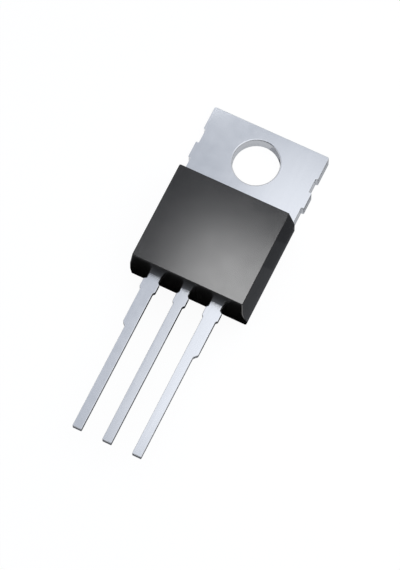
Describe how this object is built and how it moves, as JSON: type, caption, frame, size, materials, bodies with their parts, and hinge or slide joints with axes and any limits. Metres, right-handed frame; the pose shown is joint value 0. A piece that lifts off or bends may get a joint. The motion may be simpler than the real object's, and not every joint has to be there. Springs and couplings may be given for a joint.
{
  "type": "voltage regulator",
  "caption": "Linear voltage regulator in a black moulded power package, with a plated metal mounting tab and three flat parallel leads.",
  "frame": {"origin": "centre of the mounting hole's mouth in the back (heat sink) plane", "axes": "+X across the width, towards the output lead; +Y towards the free end of the tab, so the leads point along -Y; +Z out of the moulded face, square to the tab"},
  "size_m": [0.01, 0.0289, 0.0044],
  "materials": {
    "black_epoxy": "fine matt moulded epoxy",
    "plated_copper_tab": "matt tin plating over copper, fine rolling marks",
    "tinned_copper_lead": "satin tin plating over copper, stamped edges",
    "silicon": "polished chip",
    "soft_solder": "dull solder",
    "bond_aluminium": "drawn aluminium wire"
  },
  "bodies": {
    "root": {"mould_body": "black_epoxy", "heat_sink_tab": "plated_copper_tab", "input_lead": "tinned_copper_lead", "output_lead": "tinned_copper_lead", "regulator_die": "silicon", "die_solder": "soft_solder", "input_bond_wire": "bond_aluminium", "output_bond_wire": "bond_aluminium", "output_sense_wire": "bond_aluminium", "ground_bond_wire": "bond_aluminium"}
  },
  "joints": []
}
